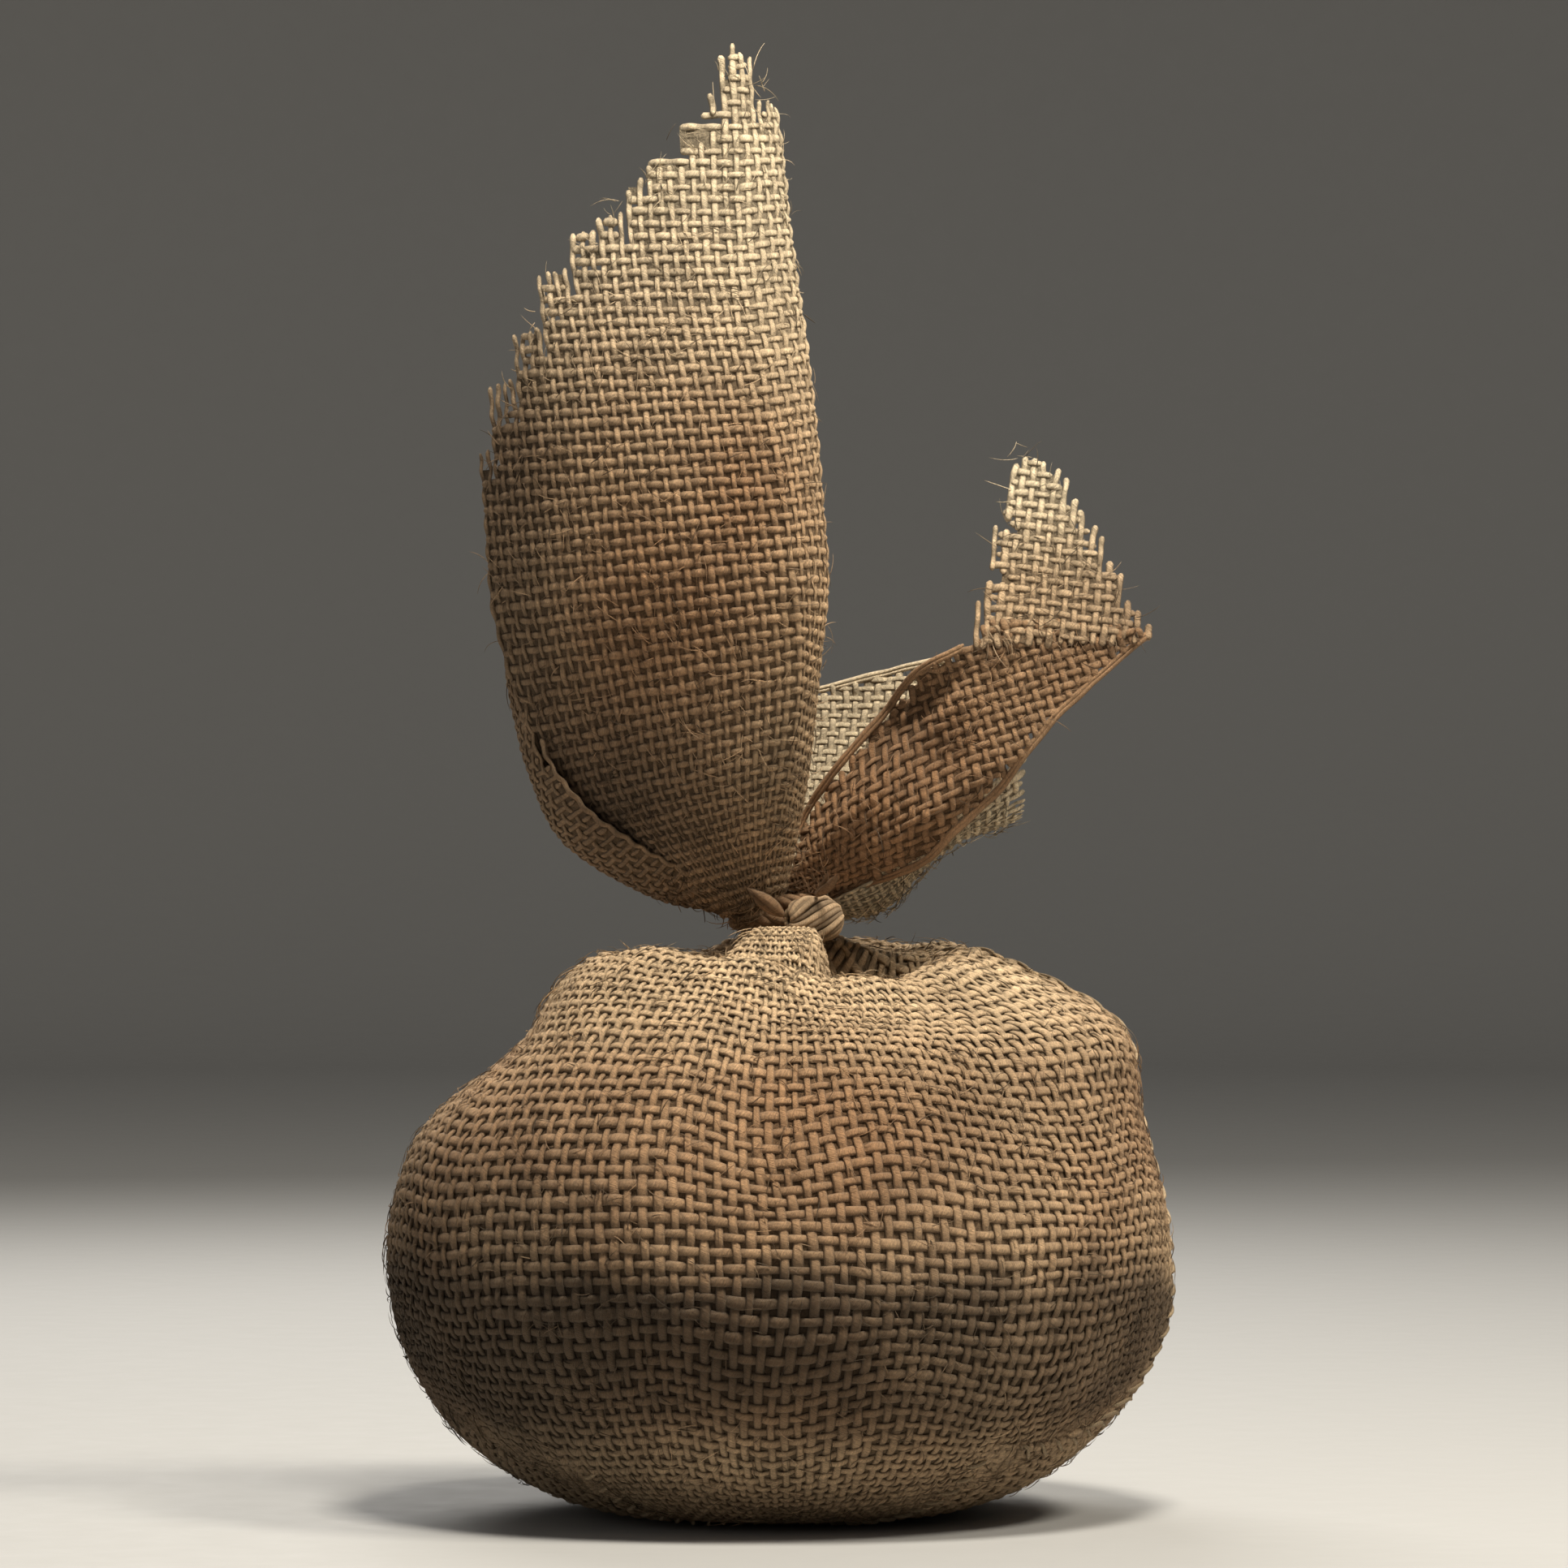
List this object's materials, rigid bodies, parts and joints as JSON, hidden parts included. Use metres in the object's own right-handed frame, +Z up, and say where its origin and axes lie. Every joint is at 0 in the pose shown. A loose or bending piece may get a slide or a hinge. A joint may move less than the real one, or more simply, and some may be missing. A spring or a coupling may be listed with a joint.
{
  "type": "sack race bag",
  "caption": "Round-filled jute race sack, gathered and tied at the neck with a knotted cord, its torn, frayed mouth standing up in cloth flaps.",
  "frame": {"origin": "centre of the face the filled sack rests on, under the tied neck", "axes": "+Z up through the neck, -Y towards the front (the side with the tall flap and the knot), +X to the front viewer's right"},
  "size_m": [0.3779, 0.378, 0.71],
  "materials": {
    "jute_cloth": "matte",
    "filling": "matte",
    "sewing_thread": "matte",
    "jute_cord": "matte"
  },
  "bodies": {
    "sack": {"sack_body": "jute_cloth", "filling": "filling", "side_seam_thread": "sewing_thread", "bottom_seam_thread": "sewing_thread"},
    "neck": {"neck_gather": "jute_cloth", "frill_collar": "jute_cloth", "tie_cord_wraps": "jute_cord", "tie_knot": "jute_cord"},
    "front_flap": {"front_flap": "jute_cloth"},
    "left_flap": {"left_flap": "jute_cloth"},
    "right_flap": {"right_flap": "jute_cloth"},
    "right_corner": {"right_flap_corner": "jute_cloth"},
    "rear_flap": {"rear_flap": "jute_cloth"},
    "rear_right_flap": {"rear_right_flap": "jute_cloth"},
    "tail_left": {"cord_tail_left": "jute_cord"},
    "tail_right": {"cord_tail_right": "jute_cord"}
  },
  "joints": [
    {"name": "neck_twist", "type": "hinge", "parent": "sack", "child": "neck", "pos_m": [0, 0, 0.27], "axis": [0, 0, 1], "range_deg": [-20, 20]},
    {"name": "front_flap_bend", "type": "hinge", "parent": "neck", "child": "front_flap", "pos_m": [-0.004, -0.0245, 0.31], "axis": [1, 0, 0], "range_deg": [-4, 40]},
    {"name": "left_flap_bend", "type": "hinge", "parent": "neck", "child": "left_flap", "pos_m": [-0.0255, 0.008, 0.304], "axis": [0, -1, 0], "range_deg": [-12, 28]},
    {"name": "right_flap_swing", "type": "hinge", "parent": "neck", "child": "right_flap", "pos_m": [0.014, -0.019, 0.3095], "axis": [0, 1, 0], "range_deg": [-12, 20]},
    {"name": "right_corner_fold", "type": "hinge", "parent": "right_flap", "child": "right_corner", "pos_m": [0.136, -0.0445, 0.4278], "axis": [1, 0, 0], "range_deg": [-30, 60]},
    {"name": "rear_flap_bend", "type": "hinge", "parent": "neck", "child": "rear_flap", "pos_m": [0.002, 0.0245, 0.31], "axis": [-1, 0, 0], "range_deg": [-4, 45]},
    {"name": "rear_right_flap_bend", "type": "hinge", "parent": "neck", "child": "rear_right_flap", "pos_m": [0.0255, 0.006, 0.304], "axis": [0, 1, 0], "range_deg": [-12, 22]},
    {"name": "left_tail_swing", "type": "hinge", "parent": "neck", "child": "tail_left", "pos_m": [0.0022, -0.037, 0.2895], "axis": [0, -1, 0], "range_deg": [-15, 30]},
    {"name": "right_tail_swing", "type": "hinge", "parent": "neck", "child": "tail_right", "pos_m": [0.0175, -0.0372, 0.299], "axis": [1, 0, 0], "range_deg": [-15, 30]}
  ]
}
